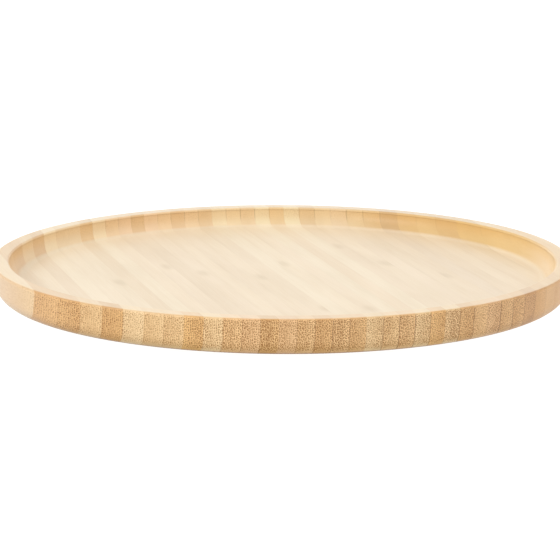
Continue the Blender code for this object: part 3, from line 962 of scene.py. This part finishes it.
def collar_section():
    """The lower plate's collar, and its curl outwards over the upper plate."""
    outer = COLLAR_RADIUS + SHEET
    curl_top = BEARING_HEIGHT - CURL_TO_TRAY
    lip = COLLAR_RADIUS + CURL_WIDTH
    under = curl_top - CURL_THICKNESS
    lip_edge = CURL_THICKNESS * 0.45
    path = rounded_path([
        (RACE_RADIUS - RACE_GROOVE_RADIUS, SHOULDER_TOP, 0),
        (outer, SHOULDER_TOP, COLLAR_BEND),
        (outer, under, COLLAR_BEND * 0.6),
        (lip, under, lip_edge),
        (lip, curl_top, lip_edge),
        (COLLAR_RADIUS, curl_top, CURL_RADIUS),
        (COLLAR_RADIUS, SHOULDER_RISE, COLLAR_BEND),
        (RACE_RADIUS - RACE_GROOVE_RADIUS, SHOULDER_RISE, 0),
    ])
    return path[1:-1]


def make_plates(finish):
    """Both bearing plates, with rounded sheet edges, smooth bends and drilled corners."""
    corners = [on_circle(SCREW_CIRCLE_RADIUS, a) for a in DIAGONALS]
    bit = drill_profile(SCREW_HOLE_RADIUS, 0, SHEET, SCREW_HOLE_CHAMFER)
    blank = finish_mesh("plate", turned(plate_section(collar_section()), plate_angles(), plate_reach))
    mesh = carve("lower_swivel_plate", blank, rods(corners, bit))
    lower = new_object("lower_swivel_plate", mesh, (0, 0, BEARING_Z))
    dress(lower, finish, "base", "zinc", "lower_bearing_plate")

    edge = [
        (UPPER_INNER_RADIUS + SHEET_EDGE, SHOULDER_TOP),
        (UPPER_INNER_RADIUS, SHOULDER_TOP - SHEET_EDGE),
        (UPPER_INNER_RADIUS, SHOULDER_RISE + SHEET_EDGE),
        (UPPER_INNER_RADIUS + SHEET_EDGE, SHOULDER_RISE),
    ]
    blank = finish_mesh("plate", turned(plate_section(edge), plate_angles(), plate_reach))
    mesh = carve("upper_swivel_plate", blank, rods(corners, bit))
    over = (math.pi, 0, math.radians(45))
    upper = new_object("upper_swivel_plate", mesh, (0, 0, BEARING_Z + BEARING_HEIGHT), over)
    dress(upper, finish, "turntable", "zinc", "upper_bearing_plate")


def make_cage(finish):
    """The cage: a flat ring, with a rounded pocket and a raised lip for each ball."""
    half = CAGE_THICKNESS / 2
    inner, outer = RACE_RADIUS - CAGE_WIDTH / 2, RACE_RADIUS + CAGE_WIDTH / 2
    section = rounded_path([
        (inner, -half, CAGE_EDGE),
        (outer, -half, CAGE_EDGE),
        (outer, half, CAGE_EDGE),
        (inner, half, CAGE_EDGE),
    ], closed=True)
    ring = finish_mesh("ring", turned(section, even_angles(PLATE_SEGMENTS)))
    centres = [on_circle(RACE_RADIUS, a) for a in even_angles(BALL_COUNT)]
    pocket = BALL_RADIUS + HOLE_GAP
    lip = rounded_path([
        (0, -half - POCKET_LIP, 0),
        (pocket + POCKET_LIP_WIDTH, -half - POCKET_LIP, POCKET_LIP / 2),
        (pocket + POCKET_LIP_WIDTH, half + POCKET_LIP, POCKET_LIP / 2),
        (0, half + POCKET_LIP, 0),
    ])
    lipped = carve("ring", ring, rods(centres, lip), operation="UNION")
    bowl = arc((0, 0), pocket * 1.01, -75, 75, POCKET_STEPS)
    hollow = [(0, bowl[0][1])] + bowl + [(0, bowl[-1][1])]
    mesh = carve("nylon_ball_cage", lipped, rods(centres, hollow))
    piece = new_object("nylon_ball_cage", mesh, (0, 0, middle_of("ball_cage").z))
    dress(piece, finish, "cage", "nylon", "ball_cage")


def make_balls(finish):
    """All the balls, which share one mesh. Each one's own axis points out from the cage's."""
    build = bmesh.new()
    bmesh.ops.create_uvsphere(build, u_segments=32, v_segments=20, radius=BALL_RADIUS)
    mesh = finish_mesh("ball", build)
    for k, angle in enumerate(even_angles(BALL_COUNT)):
        node = f"ball_{k + 1:02d}"
        turn = (0, math.radians(90), angle)
        at = on_circle(RACE_RADIUS, angle, middle_of("ball_cage").z)
        dress(new_object("steel_" + node, mesh, at, turn), finish, node, "ball_steel", node)


def thread_radius(depth, turn_share):
    """How far the shank reaches from its axis, at a depth below the head and a share of a turn round it."""
    phase = (depth / THREAD_PITCH + turn_share) % 1.0
    crest = max(0.0, 1 - abs(phase - 0.5) / THREAD_CREST) if depth >= PLAIN_NECK else 1.0
    point = min(1.0, (SHANK_LENGTH - depth) / POINT_LENGTH)
    return (THREAD_ROOT_RADIUS + (SHANK_RADIUS - THREAD_ROOT_RADIUS) * crest) * max(point, BLUNT_TIP)


def head_outline():
    """A pan head's (radius, height) points, from its underside up over its dome."""
    points = [(HEAD_RADIUS - HEAD_EDGE, 0.0), (HEAD_RADIUS, HEAD_EDGE), (HEAD_RADIUS, HEAD_RIM_HEIGHT)]
    rise = (HEAD_HEIGHT - HEAD_RIM_HEIGHT) / math.sin(DOME_ANGLE)
    for k in range(1, DOME_STEPS + 1):
        a = DOME_ANGLE * k / DOME_STEPS
        points.append((HEAD_RADIUS * (0.25 + 0.75 * math.cos(a)), HEAD_RIM_HEIGHT + rise * math.sin(a)))
    return points


def threaded_blank():
    """A pan-head screw: its head stands on Z = 0, and its cut thread winds down to a point."""
    build = bmesh.new()
    angles = even_angles(SCREW_SEGMENTS)
    rings = []
    for radius, height in reversed(head_outline()):
        rings.append([build.verts.new(on_circle(radius, a, height)) for a in angles])
    rows = int(SHANK_LENGTH / THREAD_PITCH * ROWS_PER_THREAD)
    for row in range(rows + 1):
        depth = SHANK_LENGTH * row / rows
        radii = [thread_radius(depth, k / SCREW_SEGMENTS) for k in range(SCREW_SEGMENTS)]
        rings.append([build.verts.new(on_circle(r, a, -depth)) for r, a in zip(radii, angles)])
    for upper, lower in zip(rings, rings[1:]):
        for k in range(SCREW_SEGMENTS):
            after = (k + 1) % SCREW_SEGMENTS
            build.faces.new((upper[k], lower[k], lower[after], upper[after]))
    build.faces.new(rings[0])
    build.faces.new(list(reversed(rings[-1])))
    bmesh.ops.recalc_face_normals(build, faces=build.faces)
    return finish_mesh("screw_blank", build)


def cross_bit():
    """A bmesh of the cross recess, which narrows to its bottom."""
    build = bmesh.new()
    bottom, top = HEAD_HEIGHT - CROSS_DEPTH, HEAD_HEIGHT + MM
    loops = []
    for height, shrink in ((bottom, CROSS_TAPER), (HEAD_HEIGHT, 1.0), (top, 1.0)):
        long = CROSS_SPAN / 2 * shrink
        short = CROSS_WIDTH / 2 * (0.8 + 0.2 * shrink)
        notch = short * CROSS_CORNER
        quarter = [(long, -short), (long, short), (notch, notch)]
        loop = []
        for c, s in ((1, 0), (0, 1), (-1, 0), (0, -1)):
            loop += [build.verts.new((c * x - s * y, s * x + c * y, height)) for x, y in quarter]
        loops.append(loop)
    for lower, upper in zip(loops, loops[1:]):
        for k in range(len(lower)):
            after = (k + 1) % len(lower)
            build.faces.new((lower[k], lower[after], upper[after], upper[k]))
    build.faces.new(list(reversed(loops[0])))
    build.faces.new(loops[-1])
    bmesh.ops.recalc_face_normals(build, faces=build.faces)
    return build


def make_screws(finish):
    """All twelve screws, which share one mesh."""
    mesh = carve("wood_screw", threaded_blank(), cross_bit())
    upwards, downwards = (math.pi, 0, 0), (0, 0, 0)
    kinds = (
        ("tray_screw", "turntable", upwards),
        ("foot_screw", "base", upwards),
        ("plate_screw", "base", downwards),
    )
    for k in range(SCREW_COUNT):
        for stem, body, turn in kinds:
            node = f"{stem}_{k + 1}"
            low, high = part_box(node)
            seat = low.z + HEAD_HEIGHT if turn == upwards else high.z - HEAD_HEIGHT
            at = ((low.x + high.x) / 2, (low.y + high.y) / 2, seat)
            dress(new_object("zinc_" + node, mesh, at, turn), finish, body, "screw_steel", node)


def foot_section():
    """A foot's closed section, with a ring of tread cut into what it stands on."""
    return rounded_path([
        (FOOT_RECESS_RADIUS, 0, 0.25 * MM),
        (TREAD_RADIUS - TREAD_MOUTH, 0, TREAD_EDGE),
        (TREAD_RADIUS - TREAD_FLOOR, TREAD_DEPTH, TREAD_EDGE),
        (TREAD_RADIUS + TREAD_FLOOR, TREAD_DEPTH, TREAD_EDGE),
        (TREAD_RADIUS + TREAD_MOUTH, 0, TREAD_EDGE),
        (FOOT_BOTTOM_RADIUS, 0, 0.6 * MM),
        (FOOT_TOP_RADIUS, FOOT_HEIGHT, 0.3 * MM),
        (SHANK_HOLE_RADIUS, FOOT_HEIGHT, 0.1 * MM),
        (SHANK_HOLE_RADIUS, FOOT_RECESS_DEPTH, 0.1 * MM),
        (FOOT_RECESS_RADIUS, FOOT_RECESS_DEPTH, 0.3 * MM),
    ], closed=True)


def washer_section():
    """A washer's closed section, with a rounder outer edge on top."""
    return rounded_path([
        (SHANK_HOLE_RADIUS, 0, WASHER_EDGE),
        (WASHER_RADIUS, 0, WASHER_EDGE),
        (WASHER_RADIUS, WASHER_THICKNESS, WASHER_EDGE * 2),
        (SHANK_HOLE_RADIUS, WASHER_THICKNESS, WASHER_EDGE),
    ], closed=True)


def make_feet(rubber, steel):
    """The rubber feet and their washers."""
    foot = finish_mesh("foot", turned(foot_section(), even_angles(SMALL_SEGMENTS * 2)))
    washer = finish_mesh("washer", turned(washer_section(), even_angles(SMALL_SEGMENTS)))
    kinds = (
        ("rubber_foot", foot, rubber, "rubber"),
        ("foot_washer", washer, steel, "zinc"),
    )
    for k in range(SCREW_COUNT):
        for stem, mesh, finish, slot in kinds:
            node = f"{stem}_{k + 1}"
            centre = middle_of(node)
            at = (centre.x, centre.y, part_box(node)[0].z)
            dress(new_object(f"round_{node}", mesh, at), finish, "base", slot, node)


# ---- stage

def make_camera():
    camera = bpy.data.cameras.new("camera")
    camera.lens = CAMERA_LENS
    camera.sensor_width = CAMERA_SENSOR
    camera.clip_start, camera.clip_end = CAMERA_CLIP
    at = (CAMERA_ASIDE, -CAMERA_DISTANCE, TRAY_HIGH.z + CAMERA_ABOVE_RIM)
    turn = (math.pi / 2 - CAMERA_PITCH, CAMERA_ROLL, CAMERA_YAW)
    bpy.context.scene.camera = new_object("camera", camera, at, turn)


def soft_light(name, at, width, power):
    """A round area light that faces the middle of the tray."""
    data = bpy.data.lights.new(name, "AREA")
    data.shape = "DISK"
    data.size = width
    data.energy = power
    lamp = new_object(name, data, at)
    aim = Vector((0, 0, TRAY_HIGH.z)) - Vector(at)
    lamp.rotation_euler = aim.to_track_quat("-Z", "Y").to_euler()


def make_floor():
    """A pale floor that glows softly, and keeps only a faint shadow. It can't be seen from below."""
    build = bmesh.new()
    bmesh.ops.create_circle(build, cap_ends=True, segments=96, radius=FLOOR_RADIUS)
    floor = new_object("pale_floor", finish_mesh("pale_floor", build, False))
    floor.visible_diffuse = False
    floor.visible_glossy = False
    floor.visible_transmission = False
    floor.visible_shadow = False
    s = Shader("pale_floor")
    s.set(Base_Color=(0.3, 0.3, 0.3, 1), Roughness=1.0)
    s.set(Emission_Color=(1, 1, 1, 1), Emission_Strength=FLOOR_GLOW, Specular_IOR_Level=0.0)
    clear = s.node("ShaderNodeBsdfTransparent")
    facing = s.node("ShaderNodeNewGeometry").outputs["Backfacing"]
    either = s.node("ShaderNodeMixShader")
    for socket, value in zip(either.inputs, (facing, s.surface.outputs[0], clear.outputs[0])):
        s.feed(socket, value)
    s.feed(s.tree.nodes["Material Output"].inputs["Surface"], either.outputs[0])
    floor.data.materials.append(s.material)


def make_surround():
    """Soft light from all around: brightest at the horizon, less from above and least from below."""
    world = bpy.data.worlds.new("soft_surround")
    world.use_nodes = True
    tree = world.node_tree
    split = tree.nodes.new("ShaderNodeSeparateXYZ")
    tree.links.new(tree.nodes.new("ShaderNodeTexCoord").outputs["Generated"], split.inputs[0])
    height = tree.nodes.new("ShaderNodeMath")
    height.operation = "MULTIPLY_ADD"
    height.inputs[1].default_value = 0.5
    height.inputs[2].default_value = 0.5
    tree.links.new(split.outputs["Z"], height.inputs[0])
    ramp = tree.nodes.new("ShaderNodeValToRGB")
    tree.links.new(height.outputs[0], ramp.inputs["Fac"])
    stops = ramp.color_ramp.elements
    stops.remove(stops[1])
    stops[0].color = (*[SURROUND[0][1]] * 3, 1)
    for z, level in SURROUND[1:]:
        stops.new((z + 1) / 2).color = (level, level, level, 1)
    tree.links.new(ramp.outputs["Color"], tree.nodes["Background"].inputs["Color"])
    bpy.context.scene.world = world
    bpy.context.scene.view_settings.view_transform = "Standard"


def make_stage():
    make_floor()
    make_surround()
    for name, (at, width, power) in LAMPS.items():
        soft_light(name, at, width, power)


def main():
    bamboo = bamboo_finish("lacquered_bamboo_tray", STRIP_TURN, TRAY_RADIUS - RIM_WIDTH + 0.5 * MM)
    board_bamboo = bamboo_finish("lacquered_bamboo_base", 0.0)
    zinc = zinc_finish("zinc_plate", PLATE_ZINC, race_polish=True)
    bright_zinc = zinc_finish("bright_zinc_screws", SCREW_ZINC)
    make_tray(bamboo)
    make_base_board(board_bamboo)
    make_plates(zinc)
    make_cage(nylon_finish())
    make_balls(ball_finish())
    make_screws(bright_zinc)
    make_feet(rubber_finish(), bright_zinc)
    make_camera()
    make_stage()


main()
